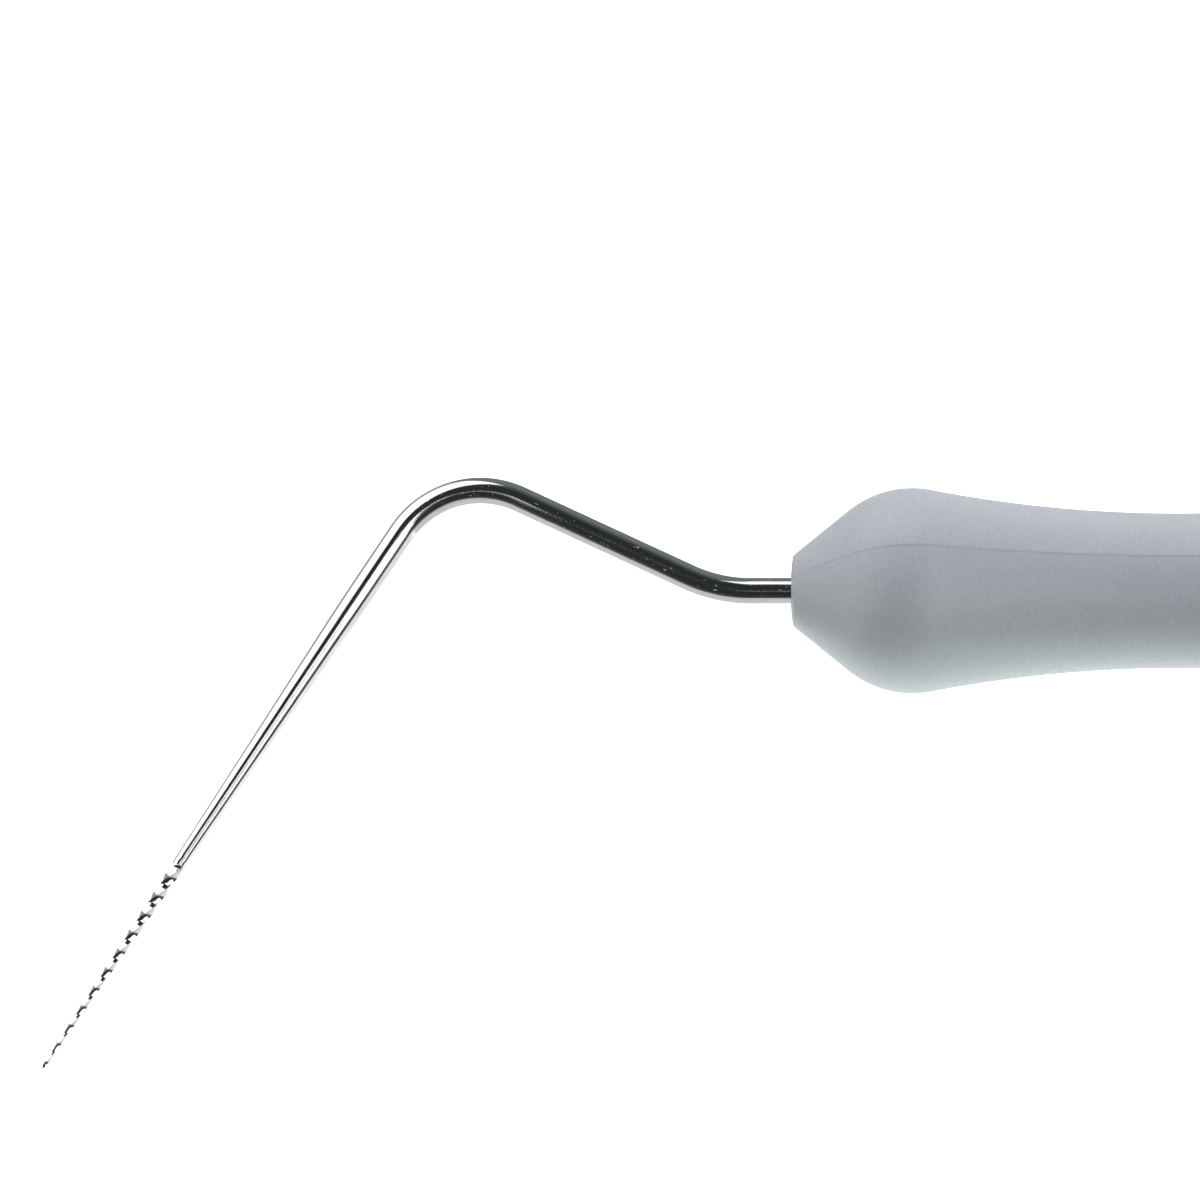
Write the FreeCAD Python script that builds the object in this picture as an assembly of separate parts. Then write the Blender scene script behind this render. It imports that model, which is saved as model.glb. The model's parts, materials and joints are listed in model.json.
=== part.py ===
"""Endodontic hand file: a twisted, tapered steel wire with an offset shank, bonded into a moulded handle.

The tool frame has the handle's axis along +X, the rim of its front face at X = 0 and the tail at +X.
The wire leaves the front face towards -X, rises, and bends back down to the tip, all in the XY plane.
The finished parts are then laid on a table, Z = 0, on the handle's bulb, its tail and the file's tip.
All sizes are in millimetres and all angles in degrees.
"""

import FreeCAD
import Part

import math
import os

# Steel wire and its working end. The tip size and the taper are the ISO size 15 and the 4 % taper.
tip_d = 0.15
taper = 0.04
wire_d = 1.0
fluted_length = 9.3
tip_length = 0.10
tip_flat_d = 0.03
twist_pitch = 3.43
edge_in_bend_plane = 8.97
sections_per_turn = 24
run_out = 0.25

# Offset shank, measured along the wire's centreline between its virtual corners.
first_run = 2.88
first_turn = -24.8
first_bend_r = 5.7
second_run = 11.50
second_turn = 80.96
second_bend_r = 3.65
working_run = 27.91

# Tail of the wire inside the handle. Two flats key it in the resin.
tail_depth = 22.0
tail_flat_length = 8.0
tail_across_flats = 0.78

# Handle: a front bulb, a finger waist, a low rear swell and a slim round shaft, which tapers
# slightly to the plain cylinder of its tail.
face_r = 1.36
face_dome = 0.10
nose_angle = 39.0
bulb_r = 3.955
bulb_arc_r = 3.9
waist_x = 14.8
waist_r = 2.98
swell_r = 3.4
swell_arc_r = 18.0
neck_arc_r = 54.0
shaft_r = 1.82
taper_start_x = 70.0
tail_start_x = 84.0
tail_r = 1.69
end_round_r = 1.1
handle_length = 110.0
bore_r = 0.58
bore_depth = 24.0

# Printed marking on the slim shaft, read with the working end on the left.
ink_thickness = 0.02
stroke_width = 0.30
letter_height = 1.75
letter_gap = 0.36
word_gap = 0.62
symbol_size = 1.7
marking_start_x = 40.3
group_gap = 3.0

# Letter skeletons in units of the letter height: straight strokes as points, round ones as arcs
# (centre x, centre y, radius, first angle, last angle, anticlockwise).
GLYPHS = {
    "-": (0.30, [[(0, 0.45), (0.30, 0.45)]], []),
    "A": (0.62, [[(0, 0), (0.31, 1), (0.62, 0)], [(0.10, 0.32), (0.52, 0.32)]], []),
    "E": (0.48, [[(0.48, 1), (0, 1), (0, 0), (0.48, 0)], [(0, 0.53), (0.42, 0.53)]], []),
    "F": (0.46, [[(0.46, 1), (0, 1), (0, 0)], [(0, 0.53), (0.40, 0.53)]], []),
    "I": (0.0, [[(0, 0), (0, 1)]], []),
    "K": (0.56, [[(0, 0), (0, 1)], [(0.54, 1), (0, 0.40)], [(0.20, 0.62), (0.56, 0)]], []),
    "L": (0.46, [[(0, 1), (0, 0), (0.46, 0)]], []),
    "P": (0.52, [[(0.26, 1), (0, 1), (0, 0)], [(0, 0.48), (0.26, 0.48)]], [(0.26, 0.74, 0.26, -90, 90)]),
    "R": (
        0.54,
        [[(0.26, 1), (0, 1), (0, 0)], [(0, 0.48), (0.26, 0.48), (0.54, 0)]],
        [(0.26, 0.74, 0.26, -90, 90)],
    ),
    "S": (0.50, [], [(0.25, 0.75, 0.25, 25, 270), (0.25, 0.25, 0.25, -155, 90)]),
    "T": (0.58, [[(0, 1), (0.58, 1)], [(0.29, 1), (0.29, 0)]], []),
    "Z": (0.52, [[(0, 1), (0.52, 1), (0, 0), (0.52, 0)]], []),
    "0": (
        0.52,
        [[(0, 0.26), (0, 0.74)], [(0.52, 0.26), (0.52, 0.74)]],
        [(0.26, 0.74, 0.26, 0, 180), (0.26, 0.26, 0.26, 180, 360)],
    ),
    "1": (0.26, [[(0, 0.80), (0.26, 1), (0.26, 0)]], []),
    "4": (0.56, [[(0.40, 0), (0.40, 1), (0, 0.30), (0.56, 0.30)]], []),
    "5": (0.50, [[(0.46, 1), (0.06, 1), (0.03, 0.55)]], [(0.20, 0.31, 0.30, -130, 126)]),
}


def vec(x, y=0.0, z=0.0):
    return FreeCAD.Vector(x, y, z)


def heading(angle):
    """Unit vector in the XY plane at this angle from +X."""
    return vec(math.cos(math.radians(angle)), math.sin(math.radians(angle)))


# The wire's headings, from the handle outwards.
rise_heading = 180.0 + first_turn
file_heading = rise_heading + second_turn
corner_1 = vec(-first_run)
corner_2 = corner_1 + heading(rise_heading) * second_run
tip_point = corner_2 + heading(file_heading) * working_run
cone_length = (wire_d - tip_d) / taper


def local_d(from_tip):
    """Diameter of the ground taper at this distance from the tip."""
    return tip_d + taper * from_tip


def on_file(from_tip):
    """Point on the working end's axis at this distance from the tip."""
    return tip_point - heading(file_heading) * from_tip


def square_section(from_tip, diagonal, roll):
    """Square outline across the file, with a corner at this angle from the bend plane."""
    aside = heading(file_heading + 90.0)
    corners = []
    for i in range(5):
        angle = math.radians(roll + 90.0 * i)
        reach = aside * math.cos(angle) + vec(0, 0, 1) * math.sin(angle)
        corners.append(on_file(from_tip) + reach * (diagonal / 2))
    return Part.makePolygon(corners)


def twist(from_tip):
    """Angle of the square's first corner from the bend plane: a right-hand twist."""
    return 360.0 * (edge_in_bend_plane - from_tip) / twist_pitch


def bend_ends(corner, before, after, radius):
    """Start, middle and end points of the arc that rounds a corner of the wire."""
    turn = math.radians(after - before)
    tangent = radius * abs(math.tan(turn / 2))
    start = corner - heading(before) * tangent
    end = corner + heading(after) * tangent
    side = 90.0 if turn > 0 else -90.0
    centre = start + heading(before + side) * radius
    middle = centre - heading((before + after) / 2 + side) * radius
    return start, middle, end


def shank():
    """The round wire from the tail inside the handle, over both bends, to where the taper starts."""
    s1, m1, e1 = bend_ends(corner_1, 180.0, rise_heading, first_bend_r)
    s2, m2, e2 = bend_ends(corner_2, rise_heading, file_heading, second_bend_r)
    tail_end = vec(tail_depth)
    path = Part.Wire(
        [
            Part.LineSegment(tail_end, s1).toShape(),
            Part.Arc(s1, m1, e1).toShape(),
            Part.LineSegment(e1, s2).toShape(),
            Part.Arc(s2, m2, e2).toShape(),
            Part.LineSegment(e2, on_file(cone_length)).toShape(),
        ]
    )
    ring = Part.Wire(Part.makeCircle(wire_d / 2, tail_end, vec(-1)))
    return path.makePipeShell([ring], True, True)


def flutes():
    """The twisted square working part, with a short pyramid at the tip."""
    turns = (fluted_length - tip_length) / twist_pitch
    count = math.ceil(turns * sections_per_turn)
    outlines = []
    for i in range(count + 1):
        from_tip = fluted_length + (tip_length - fluted_length) * i / count
        outlines.append(square_section(from_tip, local_d(from_tip), twist(from_tip)))
    outlines.append(square_section(0.0, tip_flat_d, twist(0.0)))
    return Part.makeLoft(outlines, True, True)


def steel_file():
    """The one-piece wire: keyed tail, bent shank, ground taper and twisted flutes."""
    start = on_file(cone_length)
    towards_tip = heading(file_heading)
    cone_end = fluted_length + run_out
    cone = Part.makeCone(
        wire_d / 2, local_d(cone_end) / 2, cone_length - cone_end, start, towards_tip
    )
    # The round taper fades into the square over a short ground chamfer.
    chamfer = Part.makeCone(
        local_d(cone_end) / 2,
        local_d(fluted_length) / 2 * math.cos(math.pi / 4),
        run_out,
        on_file(cone_end),
        towards_tip,
    )
    body = shank().multiFuse([cone, chamfer, flutes()])
    side = (wire_d - tail_across_flats) / 2
    for sign in (-1, 1):
        slab = Part.makeBox(tail_flat_length, wire_d, side)
        height = sign * wire_d / 2 - (side if sign > 0 else 0)
        slab.translate(vec(tail_depth - tail_flat_length, -wire_d / 2, height))
        body = body.cut(slab)
    return body


def handle_outline(offset=0.0):
    """The handle's outer profile as (edges, first point, last point), moved outwards by offset."""
    angle = math.radians(nose_angle)
    bulb_rise = bulb_r - bulb_arc_r - face_r
    bulb_x = (bulb_arc_r + bulb_rise * math.cos(angle)) / math.sin(angle)
    bulb_centre = vec(bulb_x, bulb_r - bulb_arc_r)
    waist_span = waist_x - bulb_x
    waist_drop = waist_r - bulb_centre.y
    waist_arc_r = (waist_span**2 + waist_drop**2 - bulb_arc_r**2) / (2 * (bulb_arc_r - waist_drop))
    waist_centre = vec(waist_x, waist_r + waist_arc_r)
    swell_y = swell_r - swell_arc_r
    swell_reach = waist_arc_r + swell_arc_r
    swell_x = waist_x + math.sqrt(swell_reach**2 - (waist_centre.y - swell_y) ** 2)
    swell_centre = vec(swell_x, swell_y)
    neck_y = shaft_r + neck_arc_r
    neck_reach = neck_arc_r + swell_arc_r
    neck_x = swell_x + math.sqrt(neck_reach**2 - (neck_y - swell_y) ** 2)
    end_centre = vec(handle_length - end_round_r, tail_r - end_round_r)

    def between(a, b, radius_a):
        """Where the arcs round two centres touch."""
        return a + (b - a).normalize() * radius_a

    def arc(centre, radius, a, b):
        middle = ((a + b) * 0.5 - centre).normalize() * radius
        return Part.Arc(a, centre + middle, b).toShape()

    nose_end = bulb_centre + heading(90.0 + nose_angle) * (bulb_arc_r + offset)
    rim = vec(0, face_r) + heading(90.0 + nose_angle) * offset
    bulb_end = between(bulb_centre, waist_centre, bulb_arc_r + offset)
    waist_end = between(swell_centre, waist_centre, swell_arc_r + offset)
    neck_centre = vec(neck_x, neck_y)
    swell_end = between(swell_centre, neck_centre, swell_arc_r + offset)
    neck_end = vec(neck_x, shaft_r + offset)
    taper_start = vec(taper_start_x, shaft_r + offset)
    taper_end = vec(tail_start_x, tail_r + offset)
    tail_side = vec(end_centre.x, tail_r + offset)
    tail_point = vec(handle_length + offset, end_centre.y)
    edges = [
        Part.LineSegment(rim, nose_end).toShape(),
        arc(bulb_centre, bulb_arc_r + offset, nose_end, bulb_end),
        arc(waist_centre, waist_arc_r - offset, bulb_end, waist_end),
        arc(swell_centre, swell_arc_r + offset, waist_end, swell_end),
        arc(neck_centre, neck_arc_r - offset, swell_end, neck_end),
        Part.LineSegment(neck_end, taper_start).toShape(),
        Part.LineSegment(taper_start, taper_end).toShape(),
        Part.LineSegment(taper_end, tail_side).toShape(),
        arc(end_centre, end_round_r + offset, tail_side, tail_point),
        Part.LineSegment(tail_point, vec(tail_point.x)).toShape(),
    ]
    return edges, rim, vec(tail_point.x), bulb_centre, neck_x


def revolve(edges):
    """Solid of revolution about the handle's axis from a closed outline."""
    face = Part.Face(Part.Wire(edges))
    return face.revolve(vec(0), vec(1), 360)


def handle():
    """The one-piece moulding with its domed front face and the blind bore for the wire's tail."""
    edges, rim, tail, _, _ = handle_outline()
    dome = vec(-face_dome)
    dome_r = (face_r**2 + face_dome**2) / (2 * face_dome)
    half_way = math.asin(face_r / dome_r) / 2
    dome_middle = vec(-face_dome + dome_r * (1 - math.cos(half_way)), dome_r * math.sin(half_way))
    edges += [
        Part.LineSegment(tail, dome).toShape(),
        Part.Arc(dome, dome_middle, rim).toShape(),
    ]
    bore = Part.makeCylinder(bore_r, bore_depth + 1, vec(-1), vec(1))
    return revolve(edges).cut(bore)


def bonding_resin(wire):
    """The resin that fills the bore round the wire's tail, to just inside the domed face."""
    return Part.makeCylinder(bore_r, bore_depth, vec(0), vec(1)).cut(wire)


def straight_stroke(a, b):
    """Upright prism of one straight stroke with round ends."""
    run = b - a
    bar = Part.makeBox(run.Length, stroke_width, shaft_r * 2)
    bar.translate(vec(0, -stroke_width / 2))
    bar.rotate(vec(0), vec(0, 0, 1), math.degrees(math.atan2(run.y, run.x)))
    bar.translate(a)
    ends = [Part.makeCylinder(stroke_width / 2, shaft_r * 2, p) for p in (a, b)]
    return [bar] + ends


def round_stroke(centre, radius, first, last):
    """Upright prism of one arc stroke with round ends."""
    sector = last - first
    outer = Part.makeCylinder(radius + stroke_width / 2, shaft_r * 2, centre, vec(0, 0, 1), sector)
    inner = Part.makeCylinder(radius - stroke_width / 2, shaft_r * 2, centre, vec(0, 0, 1), sector)
    ring = outer.cut(inner)
    ring.rotate(centre, vec(0, 0, 1), first)
    tips = [centre + heading(first) * radius, centre + heading(last) * radius]
    return [ring] + [Part.makeCylinder(stroke_width / 2, shaft_r * 2, p) for p in tips]


def printed(prisms, skin):
    """What these upright prisms leave on the shaft's upper side as a thin coat of ink."""
    return prisms[0].multiFuse(prisms[1:]).common(skin)


def symbol_marking(x, skin):
    """The open square that stands for this type of file, and its right-hand end."""
    low = -symbol_size / 2
    corners = [vec(x, low), vec(x + symbol_size, low), vec(x + symbol_size, -low), vec(x, -low)]
    prisms = []
    for i in range(4):
        prisms += straight_stroke(corners[i], corners[(i + 1) % 4])
    return printed(prisms, skin), x + symbol_size


def text_marking(text, x, skin):
    """One printed word group as a compound of letters, and its right-hand end."""
    letters = []
    base = vec(x, -letter_height / 2)
    for letter in text:
        if letter == " ":
            base.x += word_gap
            continue
        width, lines, arcs = GLYPHS[letter]
        prisms = []
        for points in lines:
            places = [base + vec(px, py) * letter_height for px, py in points]
            for a, b in zip(places, places[1:]):
                prisms += straight_stroke(a, b)
        for cx, cy, radius, first, last in arcs:
            centre = base + vec(cx, cy) * letter_height
            prisms += round_stroke(centre, radius * letter_height, first, last)
        letters.append(printed(prisms, skin))
        base.x += width * letter_height + stroke_width + letter_gap
    return Part.makeCompound([s for c in letters for s in c.Solids]), base.x - letter_gap


def markings(body):
    """The printed groups, each a node of its own."""
    edges, rim, tail, _, _ = handle_outline(ink_thickness)
    closing = [
        Part.LineSegment(tail, vec(rim.x)).toShape(),
        Part.LineSegment(vec(rim.x), rim).toShape(),
    ]
    skin = revolve(edges + closing).cut(body)
    x = marking_start_x
    groups = {}
    groups["type_symbol"], x = symbol_marking(x, skin)
    for name, text in (
        ("type_marking", "K-FILE"),
        ("size_marking", "SIZE 15"),
        ("taper_marking", "TAPER 04"),
    ):
        groups[name], x = text_marking(text, x + group_gap, skin)
    return groups


def resting_placement():
    """Lays the tool frame on the table: tail down until it touches, then rolled until the tip does."""
    _, _, _, bulb_centre, _ = handle_outline()
    end_x = handle_length - end_round_r
    end_y = tail_r - end_round_r
    span = end_x - bulb_centre.x
    rise = bulb_centre.y - end_y
    pitch = math.atan2(rise, span) + math.asin((bulb_arc_r - end_round_r) / math.hypot(span, rise))
    height = bulb_centre.x * math.sin(pitch) + bulb_centre.y * math.cos(pitch) + bulb_arc_r
    shoulder = on_file(tip_length)
    tip_lift = height - shoulder.x * math.sin(pitch) - local_d(tip_length) / 2
    roll = math.asin(tip_lift / (-shoulder.y * math.cos(pitch)))
    turn = FreeCAD.Rotation(vec(0, 1), math.degrees(pitch))
    turn = turn.multiply(FreeCAD.Rotation(vec(1), math.degrees(roll)))
    return FreeCAD.Placement(vec(0, 0, height), turn)


def main():
    wire = steel_file()
    body = handle()
    nodes = {"steel_file": wire, "handle": body, "bonding_resin": bonding_resin(wire)}
    nodes.update(markings(body))

    lay = resting_placement()
    laid = {name: shape.transformed(lay.toMatrix()) for name, shape in nodes.items()}
    box = Part.makeCompound(list(laid.values())).optimalBoundingBox(False, False)
    centre = vec((box.XMin + box.XMax) / 2, (box.YMin + box.YMax) / 2)
    os.makedirs("parts", exist_ok=True)
    for name, shape in laid.items():
        shape.translate(centre * -1)
        shape.exportStep(f"parts/{name}.step")
        print(name, "valid", shape.isValid(), "solids", len(shape.Solids), "mm3", round(shape.Volume, 4))

    lay.move(centre * -1)
    tail_end_x = handle_length - end_round_r
    print("pitch and roll", lay.Rotation.toEuler()[1:])
    print("origin of the tool frame", lay.Base)
    print("shaft starts at", handle_outline()[4])
    print("tail middle", lay.multVec(vec((tail_start_x + tail_end_x) / 2)))
    print("tail length", tail_end_x - tail_start_x)
    print("tail axis", lay.Rotation.multVec(vec(1)))
    print("box", box)


main()
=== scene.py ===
import json
import math
import random

import bmesh
import bpy
import numpy as np
from mathutils import Matrix, Vector, noise


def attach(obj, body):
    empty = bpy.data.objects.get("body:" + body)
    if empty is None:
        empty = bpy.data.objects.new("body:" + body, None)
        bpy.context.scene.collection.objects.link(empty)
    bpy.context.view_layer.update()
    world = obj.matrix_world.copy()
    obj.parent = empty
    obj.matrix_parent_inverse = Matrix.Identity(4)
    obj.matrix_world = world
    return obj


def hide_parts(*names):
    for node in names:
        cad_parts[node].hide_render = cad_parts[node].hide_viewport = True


# The looks of an endodontic hand file: its steel wire, moulded handle, bonding resin and print.
#
# Everything is modelled in the file's own frame, in millimetres: the handle's axis is +X with the rim
# of its front face at X = 0, the wire is bent in the XY plane, and the print faces +Z. tool_to_row()
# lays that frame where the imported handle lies. Angles are in degrees unless a name says otherwise.

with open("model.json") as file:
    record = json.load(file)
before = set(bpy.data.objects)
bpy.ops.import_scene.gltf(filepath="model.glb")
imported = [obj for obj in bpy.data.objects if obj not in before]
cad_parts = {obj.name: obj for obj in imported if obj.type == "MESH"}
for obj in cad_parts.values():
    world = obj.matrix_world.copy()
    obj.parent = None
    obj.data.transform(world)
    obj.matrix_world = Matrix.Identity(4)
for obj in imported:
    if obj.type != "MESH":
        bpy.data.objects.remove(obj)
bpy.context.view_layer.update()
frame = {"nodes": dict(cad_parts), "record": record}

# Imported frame: millimetres to metres, the place of the tail's mount along the handle, and the turn about
# the handle that lays the file on the ground.
MM = 0.001
TAIL_MIDDLE_X = 96.45
ROLL = 14.592

# Creases sharper than this stay crisp in the shading.
SHARP_ANGLE = 38

# Wire and working end. One edge of the flutes crosses the bend plane at EDGE_IN_BEND_PLANE from the tip.
# The facets run out into the round taper from RUN_OUT_START on, and are gone before TWIST_END.
TIP_D = 0.15
TAPER = 0.04
WIRE_D = 1.0
TAPER_BLEND = 0.02
TIP_LENGTH = 0.10
TIP_FLAT_D = 0.03
TWIST_PITCH = 3.43
EDGE_IN_BEND_PLANE = 8.97
RUN_OUT_START = 9.12
RUN_OUT_R = 0.45
TWIST_END = 9.7

# Points round each facet, how far they crowd to its edges, and the distances between drawn sections.
POINTS_PER_FACET = 16
CROWD_TO_EDGES = 0.10
TIP_STEP = 0.02
FLUTE_STEP = 0.045
TAIL_STEP = 0.05
SHANK_STEP = 0.16

# Offset shank, between virtual corners, and the wire's tail inside the handle.
FIRST_RUN = 2.88
FIRST_TURN = -24.8
FIRST_BEND_R = 5.7
SECOND_RUN = 11.50
SECOND_TURN = 80.96
SECOND_BEND_R = 3.65
WORKING_RUN = 27.91
TAIL_DEPTH = 22.0
TAIL_FLAT_LENGTH = 8.0
TAIL_ACROSS_FLATS = 0.78

# Handle.
FACE_R = 1.36
FACE_DOME = 0.10
RIM_ROUND = 0.09
NOSE_ANGLE = 39.0
BULB_R = 3.955
BULB_ARC_R = 3.9
WAIST_X = 14.8
WAIST_R = 2.98
SWELL_R = 3.4
SWELL_ARC_R = 18.0
NECK_ARC_R = 54.0
SHAFT_R = 1.82
TAPER_START_X = 70.0
TAIL_START_X = 84.0
TAIL_R = 1.69
END_ROUND_R = 1.1
HANDLE_LENGTH = 110.0
GATE_R = 0.38
GATE_DEPTH = 0.12
BORE_R = 0.58
BORE_DEPTH = 24.0
MOUTH_ROUND = 0.05
FILLET_DEPTH = 0.02
FILLET_RISE = 0.07

# Parting line of the handle's mould, as angles from +Y towards +Z.
SEAMS = (63.6, 243.6)
SEAM_RIDGE = 0.020
SEAM_RIDGE_WIDTH = 0.45
SEAM_STEP = 0.009
SEAM_STEP_WIDTH = 0.045
SEAM_STEP_FADE = 1.0

# Print on the slim shaft.
INK_THICKNESS = 0.02
STROKE_WIDTH = 0.30
LETTER_HEIGHT = 1.75
LETTER_GAP = 0.36
WORD_GAP = 0.62
SYMBOL_SIZE = 1.7
MARKING_START_X = 40.3
GROUP_GAP = 3.0
INK_GRID = 0.035
INK_RAGGED = 0.035
SPECK_MARGIN = 0.35
SPECKS_PER_MM = 3
SPECK_R = (0.02, 0.05)

# Letter skeletons in units of the letter height: width, strokes as points, and round strokes as
# (centre x, centre y, radius, first angle, last angle).
GLYPHS = {
    "-": (0.30, [[(0, 0.45), (0.30, 0.45)]], []),
    "A": (0.62, [[(0, 0), (0.31, 1), (0.62, 0)], [(0.10, 0.32), (0.52, 0.32)]], []),
    "E": (0.48, [[(0.48, 1), (0, 1), (0, 0), (0.48, 0)], [(0, 0.53), (0.42, 0.53)]], []),
    "F": (0.46, [[(0.46, 1), (0, 1), (0, 0)], [(0, 0.53), (0.40, 0.53)]], []),
    "I": (0.0, [[(0, 0), (0, 1)]], []),
    "K": (0.56, [[(0, 0), (0, 1)], [(0.54, 1), (0, 0.40)], [(0.20, 0.62), (0.56, 0)]], []),
    "L": (0.46, [[(0, 1), (0, 0), (0.46, 0)]], []),
    "P": (0.52, [[(0.26, 1), (0, 1), (0, 0)], [(0, 0.48), (0.26, 0.48)]], [(0.26, 0.74, 0.26, -90, 90)]),
    "R": (
        0.54,
        [[(0.26, 1), (0, 1), (0, 0)], [(0, 0.48), (0.26, 0.48), (0.54, 0)]],
        [(0.26, 0.74, 0.26, -90, 90)],
    ),
    "S": (0.50, [], [(0.25, 0.75, 0.25, 25, 270), (0.25, 0.25, 0.25, -155, 90)]),
    "T": (0.58, [[(0, 1), (0.58, 1)], [(0.29, 1), (0.29, 0)]], []),
    "Z": (0.52, [[(0, 1), (0.52, 1), (0, 0), (0.52, 0)]], []),
    "0": (
        0.52,
        [[(0, 0.26), (0, 0.74)], [(0.52, 0.26), (0.52, 0.74)]],
        [(0.26, 0.74, 0.26, 0, 180), (0.26, 0.26, 0.26, 180, 360)],
    ),
    "1": (0.26, [[(0, 0.80), (0.26, 1), (0.26, 0)]], []),
    "4": (0.56, [[(0.40, 0), (0.40, 1), (0, 0.30), (0.56, 0.30)]], []),
    "5": (0.50, [[(0.46, 1), (0.06, 1), (0.03, 0.55)]], [(0.20, 0.31, 0.30, -130, 126)]),
}

# Camera, square on to the bend plane.
LENS = 400.0
SENSOR = 36.0
VIEW_WIDTH = 46.15
VIEW_CENTRE = (-7.42, -0.354)

# Stage: the table and the domes round it, in metres, and how bright the white panels and cards are.
FLOOR_SIZE = 4.0
BACKDROP_R = 3.0
TENT_R = 2.8
PANEL_WHITE = 1.8

# The one lamp, its place and the point it is aimed at.
LAMP_PLACE = (75, 245, 210)
LAMP_AIM = (8, 0, 0)
LAMP_SIZE = 160
LAMP_POWER = 0.70
LAMP_COLOUR = (1.0, 1.0, 1.02)

# White cards over the tip and the working leg, so near that the edge which the steel mirrors shifts along
# the leg. Each has a height over the tip, and corners as distances past the tip and to its right, which is
# the handle's side.
WHITE_CARDS = {
    "tip_card": (100.0, ((6, -62), (8, -38), (17, -34), (28, -24), (319, -235), (6, -400))),
    "leg_card": (40.0, ((-24.3, -3.9), (0, -3.9), (0, 3.8), (-24.3, 3.8))),
}


def tool_to_row():
    """Matrix from the file's own frame, in millimetres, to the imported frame, in metres."""
    tail = frame["record"]["mounts"][0]
    along = Vector(tail["axis"]).normalized()
    level = Vector((0, 1, 0))
    up = along.cross(level)
    roll = math.radians(ROLL)
    y_axis = level * math.cos(roll) + up * math.sin(roll)
    z_axis = up * math.cos(roll) - level * math.sin(roll)
    origin = Vector(tail["pos_m"]) - along * (TAIL_MIDDLE_X * MM)
    turn = Matrix((along, y_axis, z_axis)).transposed().to_4x4()
    return Matrix.Translation(origin) @ turn @ Matrix.Scale(MM, 4)


TO_ROW = tool_to_row()


# ---------------------------------------------------------------- meshes


def piece(name, points, faces, material, node=None, straight=None, seam=None):
    """A mesh of the object, given in the file's own frame, riding on the only body.

    straight holds a place for each point in the piece's own unbent coordinates, and seam its distance
    along the surface from the nearest parting line. The materials read both."""
    mesh = bpy.data.meshes.new(name)
    mesh.from_pydata([tuple(p) for p in points], [], faces)
    if straight:
        layer = mesh.attributes.new("straight", "FLOAT_VECTOR", "POINT")
        layer.data.foreach_set("vector", [c for p in straight for c in p])
    if seam:
        layer = mesh.attributes.new("seam", "FLOAT", "POINT")
        layer.data.foreach_set("value", seam)
    work = bmesh.new()
    work.from_mesh(mesh)
    bmesh.ops.recalc_face_normals(work, faces=work.faces)
    work.to_mesh(mesh)
    work.free()
    mesh.transform(TO_ROW)
    mesh.shade_smooth()
    mesh.set_sharp_from_angle(angle=math.radians(SHARP_ANGLE))
    mesh.materials.append(material)
    made = bpy.data.objects.new(name, mesh)
    bpy.context.scene.collection.objects.link(made)
    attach(made, "root")
    if node:
        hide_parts(node)
    return made


def ring_faces(rings, sides, closed):
    """Quads between successive rings of points; an open skin is capped, a closed one joins up."""
    faces = []
    for i in range(rings if closed else rings - 1):
        a, b = i * sides, (i + 1) % rings * sides
        for j in range(sides):
            k = (j + 1) % sides
            faces.append((a + j, a + k, b + k, b + j))
    if not closed:
        faces.append(tuple(range(sides)))
        faces.append(tuple(range((rings - 1) * sides, rings * sides)))
    return faces


def heading(angle):
    """Unit vector in the XY plane at this angle in radians from +X."""
    return Vector((math.cos(angle), math.sin(angle), 0))


# ---------------------------------------------------------------- steel wire


def wire_legs():
    """Runs and bends of the wire from its tail to its tip, as (length, turn in radians)."""
    first, second = math.radians(FIRST_TURN), math.radians(SECOND_TURN)
    cut_1 = FIRST_BEND_R * math.tan(abs(first) / 2)
    cut_2 = SECOND_BEND_R * math.tan(abs(second) / 2)
    return [
        (TAIL_DEPTH + FIRST_RUN - cut_1, 0.0),
        (FIRST_BEND_R * abs(first), first),
        (SECOND_RUN - cut_1 - cut_2, 0.0),
        (SECOND_BEND_R * abs(second), second),
        (WORKING_RUN - cut_2, 0.0),
    ]


WIRE_LENGTH = sum(length for length, _ in wire_legs())


def point_on_wire(legs, along):
    """Centre of the wire and its heading in radians, at this distance from the tail's end."""
    place, angle = Vector((TAIL_DEPTH, 0, 0)), math.pi
    for length, turn in legs:
        part = max(0.0, min(along, length))
        turned = turn * part / length
        chord = part if turn == 0 else 2 * length / turn * math.sin(turned / 2)
        place = place + heading(angle + turned / 2) * chord
        angle += turned
        along -= part
    return place, angle


def wire_stations(total):
    """Distances from the tail's end at which the wire's section is drawn, closer where it is finer."""
    stations = [0.0]
    while stations[-1] < total - 0.01:
        from_tip = total - stations[-1]
        if from_tip < TIP_LENGTH + 0.05:
            step = TIP_STEP
        elif from_tip < TWIST_END:
            step = FLUTE_STEP
        elif abs(stations[-1] - TAIL_FLAT_LENGTH) < 0.3:
            step = TAIL_STEP
        else:
            step = SHANK_STEP
        stations.append(min(total, stations[-1] + step))
    return stations


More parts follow.
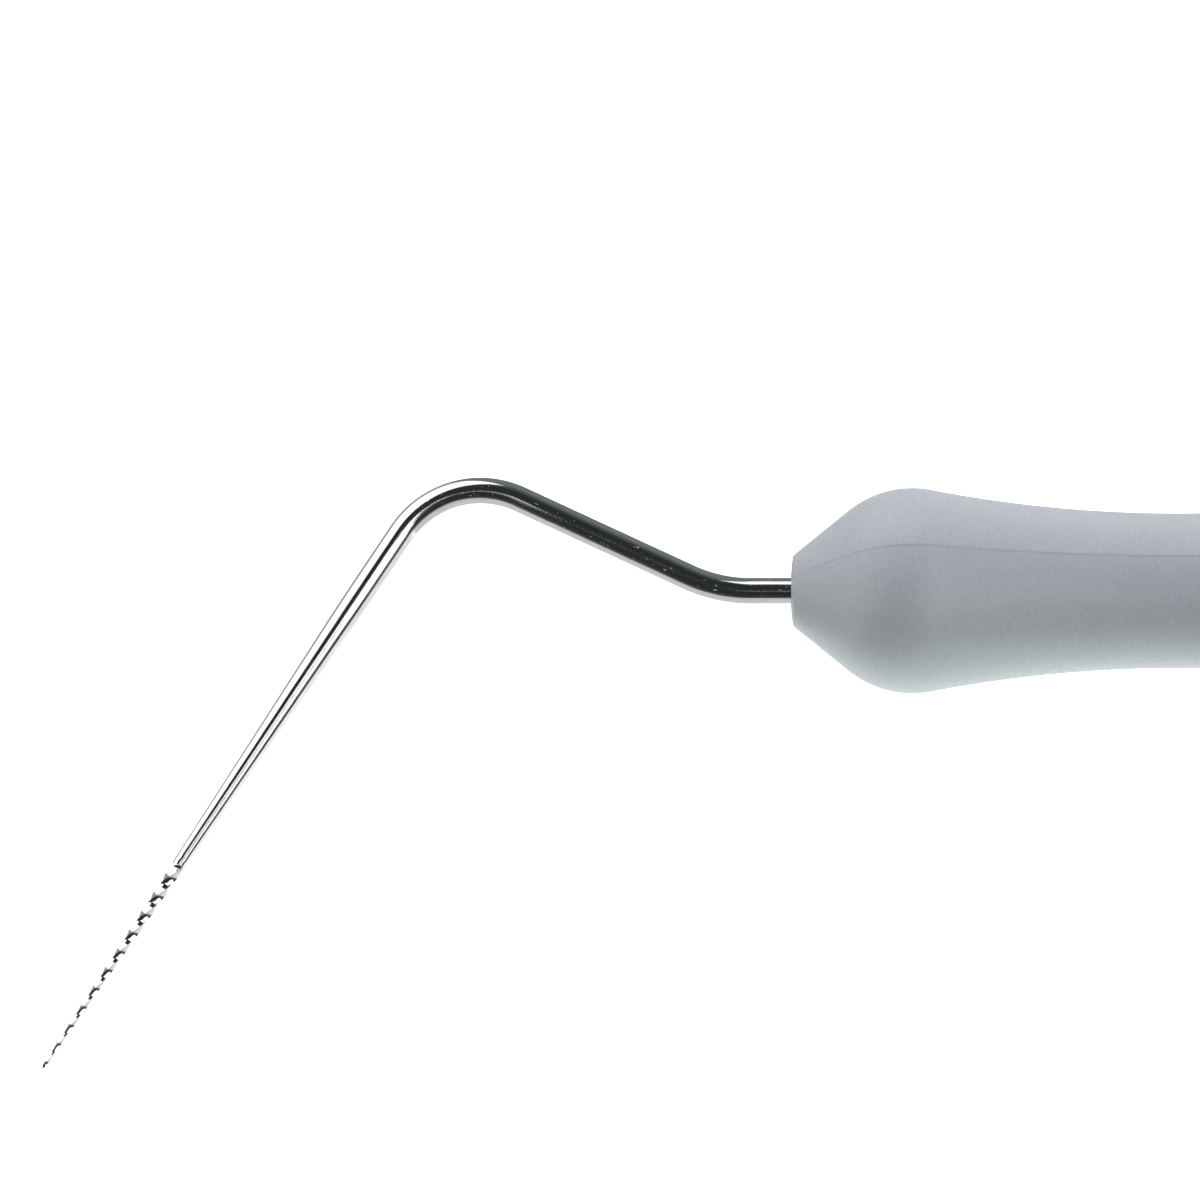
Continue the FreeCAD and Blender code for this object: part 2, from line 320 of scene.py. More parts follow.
def wire_radius(along, from_tip, from_edge, around):
    """Radius of the wire's skin.

    from_edge is the angle in radians from the nearest twisted edge, and around from the bend plane."""
    ground = (TIP_D + TAPER * from_tip) / 2
    drawn = WIRE_D / 2
    gap = abs(ground - drawn)
    round_r = min(ground, drawn) - max(0.0, TAPER_BLEND - gap) ** 2 / (4 * TAPER_BLEND)
    if from_tip < TIP_LENGTH:
        flat = TIP_FLAT_D / (TIP_D + TAPER * TIP_LENGTH)
        round_r *= flat + (1 - flat) * from_tip / TIP_LENGTH
    flat_r = round_r * math.cos(math.pi / 4) / math.cos(math.pi / 4 - from_edge)
    run_out = max(0.0, from_tip - RUN_OUT_START) ** 2 / (2 * RUN_OUT_R)
    r = min(round_r, flat_r + run_out)
    if along < TAIL_FLAT_LENGTH:
        r = min(r, TAIL_ACROSS_FLATS / 2 / max(0.001, abs(math.sin(around))))
    return r


def steel_wire(material):
    """The one-piece wire: keyed tail, offset shank, ground taper and twisted square flutes."""
    legs, total = wire_legs(), WIRE_LENGTH
    sides = 4 * POINTS_PER_FACET
    offsets = []
    for j in range(sides):
        share = j % POINTS_PER_FACET / POINTS_PER_FACET
        eased = share - CROWD_TO_EDGES * math.sin(2 * math.pi * share)
        offsets.append((j // POINTS_PER_FACET + eased) * math.pi / 2)
    points, straight = [], []
    stations = wire_stations(total)
    for along in stations:
        from_tip = total - along
        centre, angle = point_on_wire(legs, along)
        aside = heading(angle + math.pi / 2)
        twist = 2 * math.pi * (EDGE_IN_BEND_PLANE - min(from_tip, TWIST_END)) / TWIST_PITCH
        for offset in offsets:
            around = twist + offset
            from_edge = abs((offset + math.pi / 4) % (math.pi / 2) - math.pi / 4)
            r = wire_radius(along, from_tip, from_edge, around)
            across, out = r * math.cos(around), r * math.sin(around)
            points.append(centre + aside * across + Vector((0, 0, out)))
            straight.append((across, out, from_tip))
    faces = ring_faces(len(stations), sides, closed=False)
    return piece("steel_wire", points, faces, material, "steel_file", straight)


# ---------------------------------------------------------------- handle


def arc(centre, start, end, step):
    """Points along the circular arc about centre from start to end, about step apart."""
    first = math.atan2(start[1] - centre[1], start[0] - centre[0])
    last = math.atan2(end[1] - centre[1], end[0] - centre[0])
    turn = (last - first + math.pi) % (2 * math.pi) - math.pi
    radius = math.hypot(start[0] - centre[0], start[1] - centre[1])
    count = max(2, math.ceil(abs(turn) * radius / step))
    angles = [first + turn * i / count for i in range(count + 1)]
    return [(centre[0] + radius * math.cos(a), centre[1] + radius * math.sin(a)) for a in angles]


def line(start, end, step):
    """Points along a straight line, about step apart."""
    count = max(1, math.ceil(math.dist(start, end) / step))
    return [
        (start[0] + (end[0] - start[0]) * i / count, start[1] + (end[1] - start[1]) * i / count)
        for i in range(count + 1)
    ]


def touch(a, b, radius):
    """The point at this distance from a towards b."""
    length = math.dist(a, b)
    return (a[0] + (b[0] - a[0]) * radius / length, a[1] + (b[1] - a[1]) * radius / length)


def rim_start():
    """Where the nose ends and the rounded rim of the front face starts, as (x, r)."""
    return Vector((0, FACE_R)) + RIM_ROUND * Vector(heading(math.radians(NOSE_ANGLE))[:2])


def outer_profile():
    """The handle's moulded outline as (x, r), from the rim of the front face to the end face."""
    angle = math.radians(NOSE_ANGLE)
    rise = BULB_R - BULB_ARC_R - FACE_R
    bulb = ((BULB_ARC_R + rise * math.cos(angle)) / math.sin(angle), BULB_R - BULB_ARC_R)
    span, drop = WAIST_X - bulb[0], WAIST_R - bulb[1]
    waist_arc_r = (span**2 + drop**2 - BULB_ARC_R**2) / (2 * (BULB_ARC_R - drop))
    waist = (WAIST_X, WAIST_R + waist_arc_r)
    swell_y = SWELL_R - SWELL_ARC_R
    reach = waist_arc_r + SWELL_ARC_R
    swell = (WAIST_X + math.sqrt(reach**2 - (waist[1] - swell_y) ** 2), swell_y)
    neck_y = SHAFT_R + NECK_ARC_R
    reach = NECK_ARC_R + SWELL_ARC_R
    neck = (swell[0] + math.sqrt(reach**2 - (neck_y - swell_y) ** 2), neck_y)
    end = (HANDLE_LENGTH - END_ROUND_R, TAIL_R - END_ROUND_R)

    nose_end = (
        bulb[0] - BULB_ARC_R * math.sin(angle),
        bulb[1] + BULB_ARC_R * math.cos(angle),
    )
    bulb_end = touch(bulb, waist, BULB_ARC_R)
    waist_end = touch(swell, waist, SWELL_ARC_R)
    swell_end = touch(swell, neck, SWELL_ARC_R)
    profile = line(rim_start(), nose_end, step=0.3)
    profile += arc(bulb, nose_end, bulb_end, step=0.16)[1:]
    profile += arc(waist, bulb_end, waist_end, step=0.4)[1:]
    profile += arc(swell, waist_end, swell_end, step=0.4)[1:]
    profile += arc(neck, swell_end, (neck[0], SHAFT_R), step=0.5)[1:]
    profile += line((neck[0], SHAFT_R), (TAPER_START_X, SHAFT_R), step=0.7)[1:]
    profile += line((TAPER_START_X, SHAFT_R), (TAIL_START_X, TAIL_R), step=0.7)[1:]
    profile += line((TAIL_START_X, TAIL_R), (end[0], TAIL_R), step=0.7)[1:]
    profile += arc(end, (end[0], TAIL_R), (HANDLE_LENGTH, end[1]), step=0.1)[1:]
    return profile


def end_profile():
    """The tail's end face with the small sunk gate mark in its middle, as (x, r)."""
    x = HANDLE_LENGTH
    return [
        (x - 0.02, GATE_R + 0.03),
        (x - GATE_DEPTH, GATE_R),
        (x - GATE_DEPTH, GATE_R * 0.62),
        (x - GATE_DEPTH * 0.45, GATE_R * 0.50),
        (x - GATE_DEPTH * 0.35, GATE_R * 0.25),
    ]


def front_profile():
    """The bore, its edge and the domed front face up to the rim, as (x, r)."""
    dome_r = (FACE_R**2 + FACE_DOME**2) / (2 * FACE_DOME)
    face = []
    first, last = BORE_R + MOUTH_ROUND, FACE_R - RIM_ROUND
    for i in range(9):
        r = first + (last - first) * i / 8
        face.append((-FACE_DOME + r**2 / (2 * dome_r), r))
    bore_floor = (BORE_DEPTH, 0.25)
    bore = [bore_floor] + line((BORE_DEPTH, BORE_R), (0.0, BORE_R), step=3.0)
    mouth = [
        (-FACE_DOME + MOUTH_ROUND, BORE_R),
        (-FACE_DOME + MOUTH_ROUND * 0.5, BORE_R + MOUTH_ROUND * 0.3),
    ]
    edge, nose = Vector((0, FACE_R)), rim_start()
    start = Vector(face[-1])
    rim = [start.lerp(edge, t).lerp(edge.lerp(nose, t), t) for t in (0.2, 0.4, 0.6, 0.8)]
    return bore + mouth + face + [tuple(point) for point in rim]


OUTER = outer_profile()


def radius_at(x):
    """Radius of the handle's moulded outline at this distance from the front face."""
    for (x0, r0), (x1, r1) in zip(OUTER, OUTER[1:]):
        if x0 <= x <= x1:
            return r0 + (r1 - r0) * (x - x0) / (x1 - x0)
    return OUTER[-1][1]


def from_seam(around, r):
    """Signed distance in millimetres along the surface from the nearest parting line."""
    gaps = [(math.degrees(around) - seam + 180) % 360 - 180 for seam in SEAMS]
    return math.radians(min(gaps, key=abs)) * r


def seam_relief(around, r):
    """How far the parting line lifts the surface: a soft ridge, and a step from one half to the other."""
    gap = from_seam(around, r)
    if abs(gap) > 4 * SEAM_STEP_FADE:
        return 0.0
    ridge = SEAM_RIDGE * math.exp(-abs(gap) / SEAM_RIDGE_WIDTH)
    step = -SEAM_STEP * math.tanh(gap / SEAM_STEP_WIDTH) * math.exp(-abs(gap) / SEAM_STEP_FADE)
    return ridge + step


def handle_angles():
    """Angles in radians round the handle, closer together beside the parting lines."""
    near = (0.0, 0.5, 1.0, 1.6, 2.4, 3.4, 5.0, 7.5, 11.0)
    beyond, step = 13, 3.75
    angles = [seam + side * gap for seam in SEAMS for gap in near for side in (-1, 1)]
    for i in range(round(360 / step)):
        angle = i * step
        if min(abs((angle - seam + 180) % 360 - 180) for seam in SEAMS) > beyond:
            angles.append(angle)
    return [math.radians(a) for a in sorted({a % 360 for a in angles})]


def moulded_handle(material):
    """The one-piece moulding: bore, domed face, bulb, waist, swell, slim shaft and sunk gate mark."""
    angles = handle_angles()
    front, end = front_profile(), end_profile()
    profile = front + OUTER + end
    # The parting line starts on the last points of the rim and stops at the end face.
    parted = range(len(front) - 3, len(front) + len(OUTER))
    points, straight, seam = [], [], []
    for i, (x, r) in enumerate(profile):
        for around in angles:
            lifted = r + (seam_relief(around, r) if i in parted else 0.0)
            points.append(Vector((x, lifted * math.cos(around), lifted * math.sin(around))))
            straight.append(points[-1][:])
            seam.append(from_seam(around, r))
    faces = ring_faces(len(profile), len(angles), closed=False)
    return piece("moulded_handle", points, faces, material, "handle", straight, seam)


# ---------------------------------------------------------------- resin


def resin_fillet(material):
    """The small hollow fillet that the resin leaves between the bore's mouth and the wire."""
    # From just under the wire's skin to just clear of the bore's wall.
    inner, outer = WIRE_D / 2 - 0.01, BORE_R - 0.002
    loop = [(FILLET_DEPTH, inner), (FILLET_DEPTH, outer), (-FILLET_DEPTH, outer)]
    for i in range(1, 7):
        share = i / 6
        loop.append((-FILLET_DEPTH - FILLET_RISE * share**2, outer + (inner - outer) * share))
    sides = 72
    points = []
    for x, r in loop:
        for j in range(sides):
            around = 2 * math.pi * j / sides
            points.append(Vector((x, r * math.cos(around), r * math.sin(around))))
    faces = ring_faces(len(loop), sides, closed=True)
    return piece("resin_fillet", points, faces, material)


# ---------------------------------------------------------------- print


def letter_strokes(text, x):
    """Stroke segments of a printed word group that starts at x, and its right-hand end."""
    strokes = []
    base = np.array((x, -LETTER_HEIGHT / 2))
    for letter in text:
        if letter == " ":
            base[0] += WORD_GAP
            continue
        width, lines, arcs = GLYPHS[letter]
        curves = [np.array(points, float) for points in lines]
        for cx, cy, radius, first, last in arcs:
            turns = np.radians(np.linspace(first, last, 15))
            curves.append(np.column_stack((cx + radius * np.cos(turns), cy + radius * np.sin(turns))))
        for curve in curves:
            places = base + curve * LETTER_HEIGHT
            strokes += list(zip(places, places[1:]))
        base = base + np.array((width * LETTER_HEIGHT + STROKE_WIDTH + LETTER_GAP, 0))
    return strokes, base[0] - LETTER_GAP


def symbol_strokes(x):
    """Sides of the open square that stands for this type of file, and its right-hand end."""
    half = SYMBOL_SIZE / 2
    corners = [(x, -half), (x + SYMBOL_SIZE, -half), (x + SYMBOL_SIZE, half), (x, half), (x, -half)]
    places = np.array(corners, float)
    return list(zip(places, places[1:])), x + SYMBOL_SIZE


def ink_field(strokes, xs, ys, specks):
    """Signed distance from the printed edge over a grid, ragged as pad printing is, below 0 on ink."""
    gx, gy = np.meshgrid(xs, ys, indexing="ij")
    nearest = np.full(gx.shape, 9.0)
    for a, b in strokes:
        run = b - a
        share = ((gx - a[0]) * run[0] + (gy - a[1]) * run[1]) / (run @ run)
        share = np.clip(share, 0, 1)
        gap = np.hypot(gx - a[0] - share * run[0], gy - a[1] - share * run[1])
        nearest = np.minimum(nearest, gap - STROKE_WIDTH / 2)
    for i, x in enumerate(xs):
        for j, y in enumerate(ys):
            if abs(nearest[i, j]) < 3 * INK_RAGGED:
                fine = noise.noise(Vector((x * 9, y * 9, 0)))
                coarse = noise.noise(Vector((x * 3, y * 3, 5)))
                nearest[i, j] += INK_RAGGED * (1.1 * fine + 0.6 * coarse)
    for x, y, radius in specks:
        nearest = np.minimum(nearest, np.hypot(gx - x, gy - y) - radius)
    return nearest


def ink_outline(field, xs, ys):
    """Points and polygons of the inked area, cut from the grid's cells where the field crosses 0."""
    points, index, faces = [], {}, []

    def corner(i, j):
        if (i, j) not in index:
            index[i, j] = len(points)
            points.append((xs[i], ys[j]))
        return index[i, j]

    def crossing(a, b):
        key = (min(a, b), max(a, b))
        if key not in index:
            va, vb = field[key[0]], field[key[1]]
            share = min(0.95, max(0.05, va / (va - vb)))
            (ia, ja), (ib, jb) = key
            index[key] = len(points)
            points.append((xs[ia] + (xs[ib] - xs[ia]) * share, ys[ja] + (ys[jb] - ys[ja]) * share))
        return index[key]

    inked = field < 0
    for i, j in np.argwhere(inked[:-1, :-1] | inked[1:, :-1] | inked[:-1, 1:] | inked[1:, 1:]):
        cell = [(i, j), (i + 1, j), (i + 1, j + 1), (i, j + 1)]
        outline = []
        for a, b in zip(cell, cell[1:] + cell[:1]):
            if inked[a]:
                outline.append(corner(*a))
            if inked[a] != inked[b]:
                outline.append(crossing(a, b))
        if len(outline) > 2:
            faces.append(outline)
    return points, faces


def printed_mark(name, strokes, material, seed):
    """A coat of ink on the shaft's upper side, with a few stray specks round it."""
    ends = np.array([p for stroke in strokes for p in stroke])
    low, high = ends.min(0) - SPECK_MARGIN, ends.max(0) + SPECK_MARGIN
    chance = random.Random(seed)
    specks = []
    for _ in range(int((high[0] - low[0]) * SPECKS_PER_MM)):
        place = (chance.uniform(low[0], high[0]), chance.uniform(low[1], high[1]))
        specks.append((*place, chance.uniform(*SPECK_R)))
    xs = np.arange(low[0], high[0], INK_GRID)
    ys = np.arange(low[1], high[1], INK_GRID)
    flat, tops = ink_outline(ink_field(strokes, xs, ys, specks), xs, ys)

    points = []
    for lift in (INK_THICKNESS, -INK_THICKNESS / 2):
        for x, y in flat:
            r = radius_at(x)
            around = math.acos(max(-1.0, min(1.0, y / r)))
            lifted = r + seam_relief(around, r) + lift
            points.append(Vector((x, lifted * math.cos(around), lifted * math.sin(around))))
    under = len(flat)
    faces = list(tops) + [[v + under for v in reversed(face)] for face in tops]
    edges = {(a, b) for face in tops for a, b in zip(face, face[1:] + face[:1])}
    faces += [(b, a, a + under, b + under) for a, b in edges if (b, a) not in edges]
    straight = [p[:] for p in points]
    return piece(name + "_ink", points, faces, material, name, straight)


def printing(material):
    """The printed line: the type's symbol and name, the size and the taper."""
    strokes, x = symbol_strokes(MARKING_START_X)
    printed_mark("type_symbol", strokes, material, 1)
    words = (("type_marking", "K-FILE"), ("size_marking", "SIZE 15"), ("taper_marking", "TAPER 04"))
    for seed, (name, text) in enumerate(words, 2):
        strokes, x = letter_strokes(text, x + GROUP_GAP)
        printed_mark(name, strokes, material, seed)


# ---------------------------------------------------------------- materials


class Graph:
    """Short ways to add nodes to a material or the world."""

    def __init__(self, owner):
        owner.use_nodes = True
        self.tree = owner.node_tree
        self.tree.nodes.clear()

    def node(self, kind, inputs=(), **settings):
        """A new node. inputs gives a value or a socket to link for each input, by name or number."""
        made = self.tree.nodes.new(kind)
        for key, value in settings.items():
            setattr(made, key, value)
        for key, value in dict(inputs).items():
            if isinstance(value, bpy.types.NodeSocket):
                self.tree.links.new(value, made.inputs[key])
            else:
                made.inputs[key].default_value = value
        return made

    def attribute(self, name, output="Vector"):
        return self.node("ShaderNodeAttribute", attribute_name=name).outputs[output]

    def scaled(self, vector, scale):
        return self.node("ShaderNodeVectorMath", {0: vector, 1: scale}, operation="MULTIPLY").outputs[0]

    def math(self, operation, a, b=0.0):
        return self.node("ShaderNodeMath", {0: a, 1: b}, operation=operation).outputs[0]

    def noise(self, vector, scale, detail=2.0, roughness=0.5):
        inputs = {"Vector": vector, "Scale": scale, "Detail": detail, "Roughness": roughness}
        return self.node("ShaderNodeTexNoise", inputs).outputs["Fac"]

    def ramp(self, value, low, high, to_low=0.0, to_high=1.0):
        """A smooth step from to_low, where value is low or less, to to_high, where it is high or more."""
        inputs = {"Value": value, "From Min": low, "From Max": high, "To Min": to_low, "To Max": to_high}
        return self.node("ShaderNodeMapRange", inputs, interpolation_type="SMOOTHSTEP").outputs[0]

    def mix(self, share, a, b):
        made = self.node("ShaderNodeMix", data_type="RGBA")
        for socket, value in zip((made.inputs[0], made.inputs[6], made.inputs[7]), (share, a, b)):
            if isinstance(value, bpy.types.NodeSocket):
                self.tree.links.new(value, socket)
            else:
                socket.default_value = value
        return made.outputs[2]

    def bump(self, height, distance, normal=None):
        """A bumped normal, with the distance in metres."""
        inputs = {"Height": height, "Distance": distance, "Strength": 1.0}
        if normal:
            inputs["Normal"] = normal
        return self.node("ShaderNodeBump", inputs).outputs[0]


def steel_material():
    """Bright drawn stainless wire: long drawing lines, cross grinding on the taper, faint nicks."""
    material = bpy.data.materials.new("bright_drawn_steel")
    g = Graph(material)
    place = g.attribute("straight")
    from_tip = g.node("ShaderNodeSeparateXYZ", {0: place}).outputs[2]
    taper_end = (WIRE_D - TIP_D) / TAPER
    ground = g.ramp(from_tip, taper_end - 0.5, taper_end + 0.5, 1.0, 0.0)

    # Scales are per millimetre, two of them across the wire and one along it.
    lines = g.noise(g.scaled(place, (14, 14, 0.35)), 1.0, 3.0, 0.6)
    fine_lines = g.noise(g.scaled(place, (45, 45, 0.9)), 1.0, 2.0)
    drawing = g.math("ADD", g.math("MULTIPLY", lines, 0.7), g.math("MULTIPLY", fine_lines, 0.3))
    grinding = g.noise(g.scaled(place, (1.2, 1.2, 22)), 1.0, 3.0, 0.6)
    dents = g.noise(g.scaled(place, (5, 5, 2.2)), 1.0, 3.0, 0.55)
    nicks = g.ramp(g.noise(g.scaled(place, (12, 12, 4)), 1.0, 3.0, 0.6), 0.67, 0.75)
    nicks = g.math("MULTIPLY", nicks, g.ramp(from_tip, 23, 27))

    normal = g.bump(drawing, 6e-7)
    normal = g.bump(g.math("MULTIPLY", grinding, ground), 0.5e-6, normal=normal)
    normal = g.bump(dents, 1.2e-6, normal=normal)
    normal = g.bump(nicks, 6e-6, normal=normal)
    roughness = g.math("ADD", g.ramp(lines, 0.3, 0.7, 0.07, 0.13), g.math("MULTIPLY", nicks, 0.3))
    colour = g.mix(g.ramp(dents, 0.3, 0.7), (0.60, 0.595, 0.58, 1), (0.66, 0.655, 0.64, 1))
    shader = g.node(
        "ShaderNodeBsdfPrincipled",
        {"Base Color": colour, "Metallic": 1.0, "Roughness": roughness, "Normal": normal},
    )
    g.node("ShaderNodeOutputMaterial", {"Surface": shader.outputs[0]})
    return material


def plastic_material():
    """Pale lavender-grey moulded plastic with a fine satin grain, and painted shade along the parting
    line.
    """
    material = bpy.data.materials.new("satin_moulded_plastic")
    g = Graph(material)
    place = g.attribute("straight")
    behind_face = g.node("ShaderNodeSeparateXYZ", {0: place}).outputs[0]
    gap = g.math("ABSOLUTE", g.attribute("seam", "Fac"))
    grain = g.noise(place, 9.0, 3.0, 0.6)
    speckle = g.noise(place, 10.0, 2.0, 0.7)
    flow = g.noise(g.scaled(place, (0.25, 1, 1)), 0.8, 3.0)
    # Painted shade: a thin dark line along the parting line, its strength varying by noise along the
    # handle, faded out near the front face.
    seam_shade_strength = g.ramp(g.noise(g.scaled(place, (0.35, 0, 0)), 1.0, 2.0), 0.35, 0.65, 0.18, 0.42)
    painted_seam_shade = g.math("MULTIPLY", g.ramp(gap, 0.01, 0.06, 1.0, 0.0), seam_shade_strength)
    painted_seam_shade = g.math("MULTIPLY", painted_seam_shade, g.ramp(behind_face, 0.2, 0.6))

    colour = g.mix(g.ramp(flow, 0.3, 0.7), (0.445, 0.465, 0.505, 1), (0.47, 0.485, 0.52, 1))
    colour = g.mix(g.ramp(speckle, 0.30, 0.70, 0.0, 0.48), colour, (0.60, 0.62, 0.67, 1))
    # Darken the colour by the painted shade along the parting line.
    colour = g.mix(painted_seam_shade, colour, (0.36, 0.37, 0.39, 1))
    normal = g.bump(grain, 3.0e-6)
    normal = g.bump(speckle, 2.0e-6, normal=normal)
    roughness = g.ramp(grain, 0.3, 0.7, 0.40, 0.52)
    shader = g.node(
        "ShaderNodeBsdfPrincipled",
        {
            "Base Color": colour,
            "Roughness": roughness,
            "IOR": 1.47,
            "Subsurface Weight": 0.15,
            "Subsurface Radius": (1.0, 0.9, 0.85),
            "Subsurface Scale": 0.0005,
            "Normal": normal,
        },
    )
    g.node("ShaderNodeOutputMaterial", {"Surface": shader.outputs[0]})
    return material


def resin_material():
    """Cured bonding resin, smooth and slightly yellow."""
    material = bpy.data.materials.new("cured_bonding_resin")
    g = Graph(material)
    place = g.node("ShaderNodeTexCoord").outputs["Object"]
    cloud = g.noise(place, 2500.0, 2.0)
    colour = g.mix(g.ramp(cloud, 0.3, 0.7), (0.62, 0.60, 0.52, 1), (0.72, 0.70, 0.63, 1))
    normal = g.bump(cloud, 2e-6)
    shader = g.node(
        "ShaderNodeBsdfPrincipled",
        {"Base Color": colour, "Roughness": 0.22, "IOR": 1.52, "Normal": normal},
    )
    g.node("ShaderNodeOutputMaterial", {"Surface": shader.outputs[0]})
    return material


def ink_material():
    """Black pad-printing ink, matte, thin in places."""
    material = bpy.data.materials.new("black_print_ink")
    g = Graph(material)
    place = g.attribute("straight")
    thin = g.noise(place, 7.0, 4.0, 0.7)
    grain = g.noise(place, 22.0, 2.0)
    colour = g.mix(g.ramp(thin, 0.55, 0.80), (0.018, 0.018, 0.020, 1), (0.085, 0.085, 0.092, 1))
    normal = g.bump(grain, 3e-6)
    roughness = g.ramp(grain, 0.3, 0.7, 0.45, 0.65)
    shader = g.node(
        "ShaderNodeBsdfPrincipled", {"Base Color": colour, "Roughness": roughness, "Normal": normal}
    )
    g.node("ShaderNodeOutputMaterial", {"Surface": shader.outputs[0]})
    return material


# ---------------------------------------------------------------- stage, light and camera


def floor():
    """A white table top that lights the object from below. Steel reflects the tent, not the table."""
    bpy.ops.mesh.primitive_plane_add(size=FLOOR_SIZE)
    made = bpy.context.object
    made.name = "floor"
    material = bpy.data.materials.new("white_table")
    g = Graph(material)
    place = g.node("ShaderNodeTexCoord").outputs["Object"]
    along, across, _ = g.node("ShaderNodeSeparateXYZ", {0: place}).outputs
    # Brighter under the handle than under the wire, most of all on the handle's -Y side.
    shine = g.mix(g.ramp(across, -0.008, 0.008), (2.40, 2.70, 2.45, 1), (1.90, 1.97, 1.93, 1))
    shine = g.mix(g.ramp(along, -0.056, -0.040), (1.50, 1.52, 1.50, 1), shine)
    shader = g.node(
        "ShaderNodeBsdfPrincipled",
        {
            "Base Color": (0.0, 0.0, 0.0, 1),
            "Roughness": 0.8,
            "Specular IOR Level": 0.0,
            "Emission Color": shine,
            "Emission Strength": 1.0,
        },
    )
    g.node("ShaderNodeOutputMaterial", {"Surface": shader.outputs[0]})
    made.data.materials.append(material)
    made.visible_glossy = False


def dome(name, radius, seen_by, colour, strength):
    """A glowing dome all round, for one kind of ray only."""
    bpy.ops.mesh.primitive_uv_sphere_add(radius=radius, segments=48, ring_count=24)
    made = bpy.context.object
    made.name = name
    glow(made, seen_by, colour, strength)


def white_card(name, height, outline):
    """A white card over the working end that only steel mirrors."""
    tip, angle = point_on_wire(wire_legs(), WIRE_LENGTH)
    over_tip = tip + Vector((0, 0, height))
    past, right = heading(angle), heading(angle + math.pi / 2)
    corners = [TO_ROW @ (over_tip + past * a + right * b) for a, b in outline]
    mesh = bpy.data.meshes.new(name)
    mesh.from_pydata(corners, [], [range(len(corners))])
    made = bpy.data.objects.new(name, mesh)
    bpy.context.scene.collection.objects.link(made)
    glow(made, "glossy", (1, 1, 1), PANEL_WHITE)


def glow(made, seen_by, colour, strength):
    """Make an object of the stage glow for one kind of ray and be unseen by the others."""
    material = bpy.data.materials.new(made.name)
    g = Graph(material)
    shader = g.node("ShaderNodeEmission", {"Color": (*colour, 1), "Strength": strength})
    g.node("ShaderNodeOutputMaterial", {"Surface": shader.outputs[0]})
    made.data.materials.append(material)
    for ray in ("camera", "diffuse", "glossy", "transmission", "volume_scatter", "shadow"):
        setattr(made, "visible_" + ray, ray == seen_by)


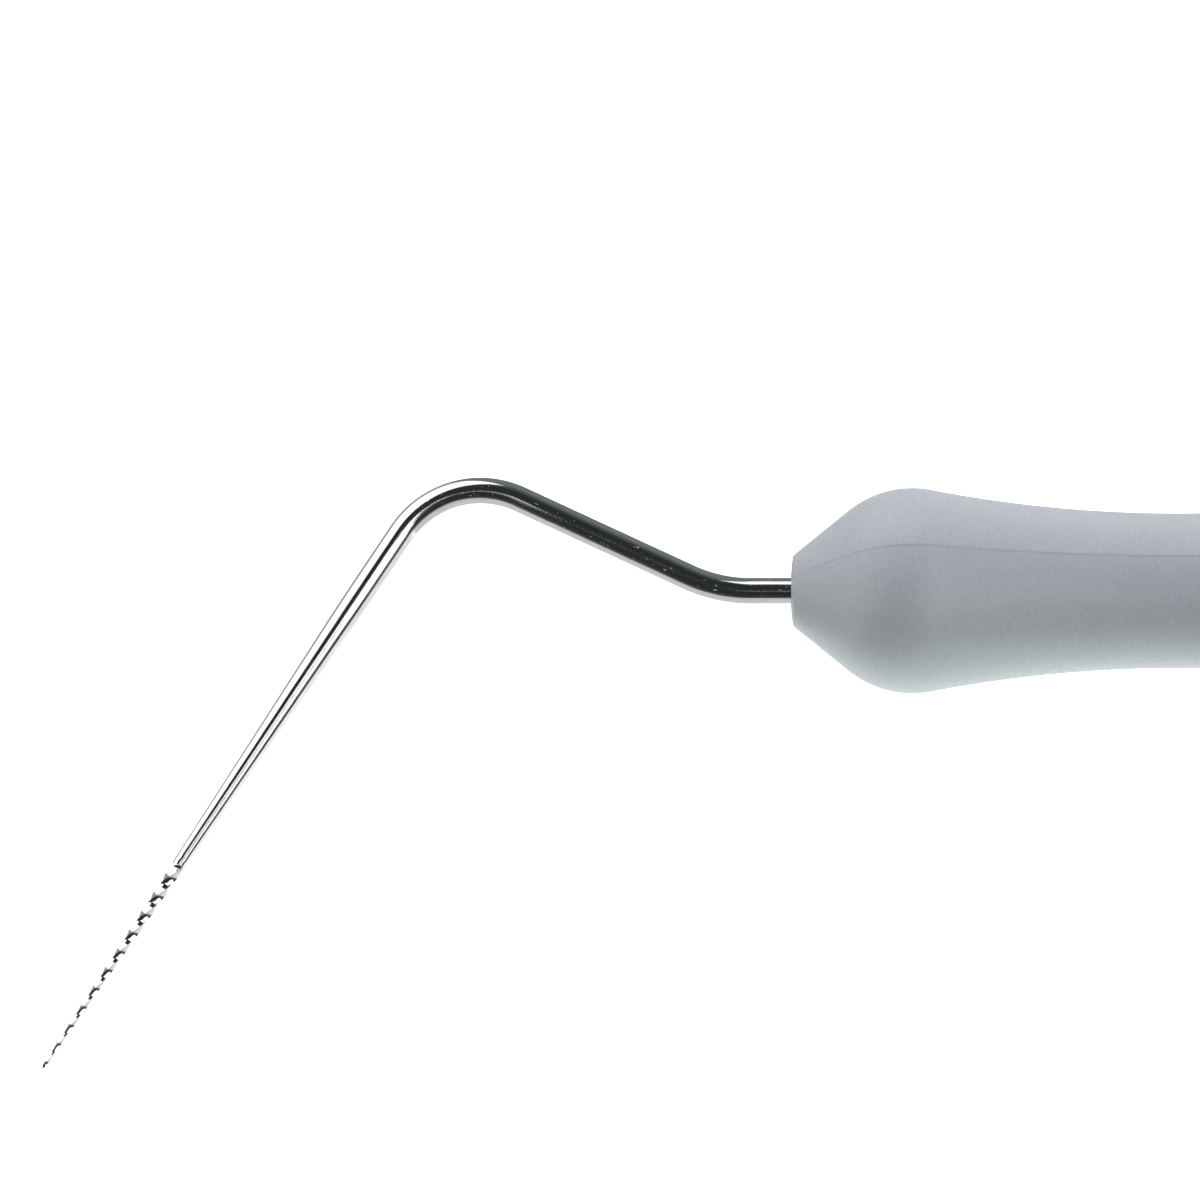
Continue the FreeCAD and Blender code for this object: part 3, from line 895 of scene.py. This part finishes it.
def light_tent():
    """What the steel mirrors: a dark tent with bright panels either side of the lens, over a grey table.

    Each panel is the set of directions on the inner side of a few planes through the object."""
    world = bpy.data.worlds.new("light_tent")
    bpy.context.scene.world = world
    world.cycles_visibility.diffuse = False
    g = Graph(world)
    direction = g.node("ShaderNodeTexCoord").outputs["Generated"]
    axes = TO_ROW.to_3x3().normalized()

    def inside(normal, softness, shift=0.0):
        """1 on the side of the plane that its normal, in the file's own frame, points to, else 0."""
        towards = (axes @ Vector(normal)).normalized()
        dot = g.node("ShaderNodeVectorMath", {0: direction, 1: towards}, operation="DOT_PRODUCT")
        return g.ramp(dot.outputs["Value"], shift - softness, shift + softness)

    def panel(colour, strength, *planes):
        """Light from the directions that are inside all the planes, each (normal, softness, shift)."""
        share = inside(*planes[0])
        for plane in planes[1:]:
            share = g.math("MULTIPLY", share, inside(*plane))
        power = g.math("MULTIPLY", share, strength)
        return g.node("ShaderNodeBackground", {"Color": (*colour, 1), "Strength": power}).outputs[0]

    white = (1.0, 1.0, 1.0)
    left_top = ((-0.607, 0.384, -0.694), 0.04)
    left_foot = ((-0.27, 0.2965, 0.9165), 0.04)
    below_left_foot = ((0.27, -0.2965, -0.9165), 0.04)
    left_end = ((-0.863, 0.015, 0.505), 0.03)
    left_side = ((-0.7, 1, 0), 0.06)
    right_side = ((0.67, -0.74, 0), 0.05)
    table_right = ((0, -0.446, -0.8935), 0.06)
    parts = [
        # The dark cloth above, and the dim room below it.
        g.node("ShaderNodeBackground", {"Color": (0.9, 1.0, 1.05, 1), "Strength": 0.035}).outputs[0],
        panel((0.88, 1.0, 1.05), 0.22, ((0, 0, -1), 0.55, -0.25)),
        # The left panel with its pointed end, and the dull strip under it.
        panel(white, PANEL_WHITE, left_top, left_foot, left_end, left_side),
        panel(white, 0.22, below_left_foot, ((-1, -0.27, 0), 0.08), left_side),
        # The right panel, which reaches up to the lens.
        panel(
            white,
            PANEL_WHITE,
            ((0.318, 0.908, 0.312), 0.03),
            ((0.643, 0.766, 0), 0.008, -0.04),
            ((-0.75, 0, 1), 0.03),
            ((0.67, -0.74, 0), 0.008, 0.07),
        ),
        # The pale grey table in front, brighter to the right.
        panel(
            (1.0, 0.99, 0.955),
            0.62,
            ((0.303, -0.348, -0.887), 0.06),
            ((-0.052, -0.446, -0.8935), 0.06),
            ((0, -1, 0), 0.1),
        ),
        panel((1.0, 0.99, 0.97), 0.28, table_right, ((0.629, 0.777, 0), 0.03), right_side),
        panel(white, 0.35, table_right, ((0.643, 0.766, 0), 0.02), ((-0.588, -0.809, 0), 0.02)),
    ]
    total = parts[0]
    for part in parts[1:]:
        total = g.node("ShaderNodeAddShader", {0: total, 1: part}).outputs[0]
    g.node("ShaderNodeOutputWorld", {"Surface": total})


def upper_lamp():
    """A soft square lamp, aimed at the handle's bulb, that steel doesn't mirror."""
    lamp = bpy.data.lights.new("upper_lamp", "AREA")
    lamp.shape = "SQUARE"
    lamp.size = LAMP_SIZE * MM
    lamp.energy = LAMP_POWER
    lamp.color = LAMP_COLOUR
    made = bpy.data.objects.new("upper_lamp", lamp)
    bpy.context.scene.collection.objects.link(made)
    start = Vector(LAMP_PLACE)
    made.location = TO_ROW @ start
    aim = (TO_ROW.to_3x3() @ (Vector(LAMP_AIM) - start)).normalized()
    made.rotation_mode = "QUATERNION"
    made.rotation_quaternion = aim.to_track_quat("-Z", "Y")
    made.visible_glossy = False
    made.visible_camera = False


def camera():
    """A long lens square on to the bend plane, framing the working end and the handle's front."""
    lens = bpy.data.cameras.new("camera")
    lens.sensor_width = SENSOR
    lens.lens = LENS
    lens.clip_start = 0.01
    lens.clip_end = 10.0
    made = bpy.data.objects.new("camera", lens)
    bpy.context.scene.collection.objects.link(made)
    distance = VIEW_WIDTH * LENS / SENSOR
    turn = TO_ROW.to_3x3().normalized().to_4x4()
    made.matrix_world = Matrix.Translation(TO_ROW @ Vector((*VIEW_CENTRE, distance))) @ turn
    bpy.context.scene.camera = made


def main():
    steel, plastic, resin, ink = steel_material(), plastic_material(), resin_material(), ink_material()
    camera()
    steel_wire(steel)
    moulded_handle(plastic)
    resin_fillet(resin)
    frame["nodes"]["bonding_resin"].data.materials.clear()
    frame["nodes"]["bonding_resin"].data.materials.append(resin)
    printing(ink)
    floor()
    dome("white_backdrop", BACKDROP_R, "camera", (1, 1, 1), 1.05)
    dome("diffusing_tent", TENT_R, "diffuse", (0.98, 1.0, 1.0), 0.18)
    for name, (height, outline) in WHITE_CARDS.items():
        white_card(name, height, outline)
    light_tent()
    upper_lamp()
    bpy.context.scene.view_settings.view_transform = "Standard"


main()
